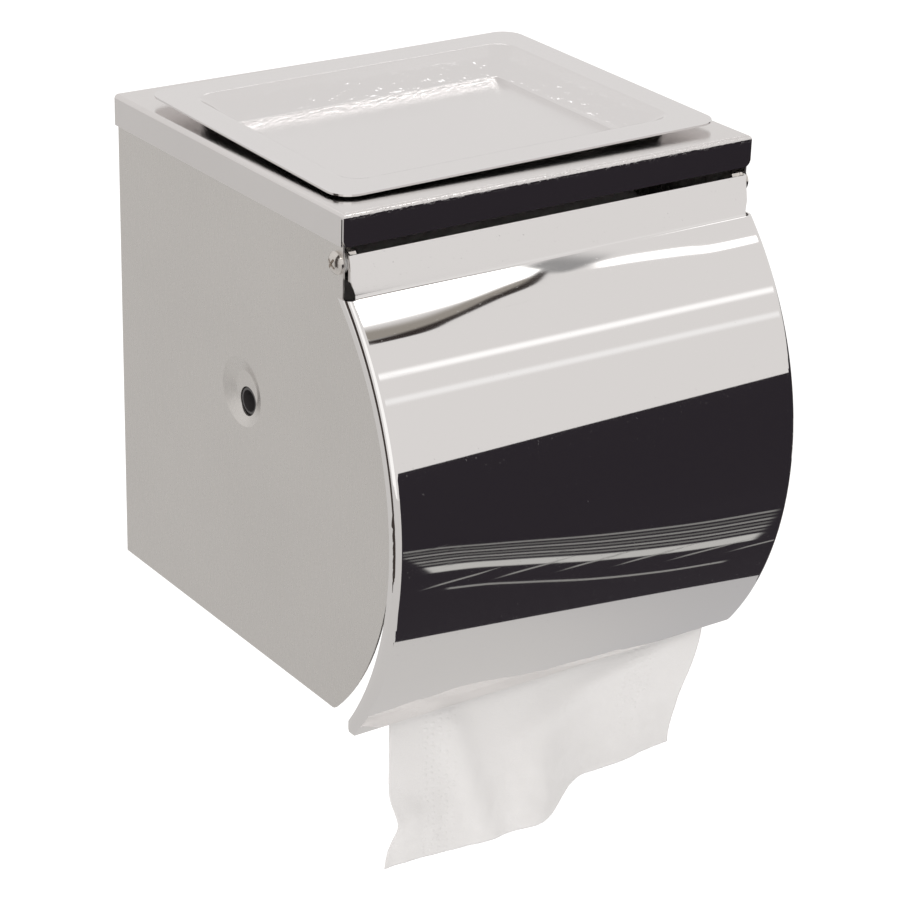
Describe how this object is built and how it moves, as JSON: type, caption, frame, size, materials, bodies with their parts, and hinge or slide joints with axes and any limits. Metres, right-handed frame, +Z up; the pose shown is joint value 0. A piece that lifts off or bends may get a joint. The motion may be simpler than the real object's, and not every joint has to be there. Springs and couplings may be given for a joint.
{
  "type": "toilet paper holder",
  "caption": "Wall-mounted closed toilet paper holder in polished sheet steel, with a hinged bowed front cover, a sprung roller, a paper roll and a lift-out tray on top.",
  "frame": {"origin": "centre of the four wall screw holes, on the back face that lies on the wall", "axes": "+Z up, +Y into the wall, the cover faces -Y, +X to the right as seen from the front"},
  "size_m": [0.1278, 0.1376, 0.1868],
  "materials": {
    "satin_steel": "satin, fine vertical grain",
    "tray_steel": "bright annealed, lightly polished",
    "polished_steel": "mirror polished",
    "screw_steel": "bright nickel",
    "nylon": "matt",
    "roller_plastic": "moulded, semi-gloss",
    "spring_steel": "drawn wire",
    "cardboard": "matt, spirally wound",
    "tissue": "soft, embossed"
  },
  "bodies": {
    "housing": {"housing_shell": "satin_steel", "top_cap": "satin_steel", "pivot_screws": "screw_steel", "pivot_washers": "nylon", "pivot_nuts": "screw_steel"},
    "cover": {"front_cover": "polished_steel"},
    "tray": {"tray": "tray_steel"},
    "spindle": {"roller_outer": "roller_plastic", "roller_spring": "spring_steel"},
    "plunger": {"roller_inner": "roller_plastic"},
    "roll": {"paper_core": "cardboard", "paper_roll": "tissue"},
    "tail": {"paper_tail": "tissue"}
  },
  "joints": [
    {"name": "cover_lift", "type": "hinge", "parent": "housing", "child": "cover", "pos_m": [0, -0.1087, 0.047], "axis": [-1, 0, 0], "range_deg": [0, 85]},
    {"name": "tray_lift", "type": "slide", "parent": "housing", "child": "tray", "axis": [0, 0, 1], "range_m": [0, 0.06]},
    {"name": "spindle_turn", "type": "hinge", "parent": "housing", "child": "spindle", "pos_m": [0, -0.065, -0.0047], "axis": [1, 0, 0], "continuous": true},
    {"name": "plunger_press", "type": "slide", "parent": "spindle", "child": "plunger", "axis": [-1, 0, 0], "range_m": [0, 0.012], "stiffness_N_per_m": 300, "springref_m": -0.012, "deforming": ["roller_spring"]},
    {"name": "roll_turn", "type": "hinge", "parent": "housing", "child": "roll", "pos_m": [0, -0.065, -0.0124], "axis": [1, 0, 0], "range_deg": [0, 120]},
    {"name": "tail_pull", "type": "slide", "parent": "housing", "child": "tail", "axis": [0, 0, -1], "range_m": [0, 0.104]}
  ],
  "couplings": [
    {"joint": "tail_pull", "follows": "roll_turn", "m_per_rad": 0.0493}
  ]
}
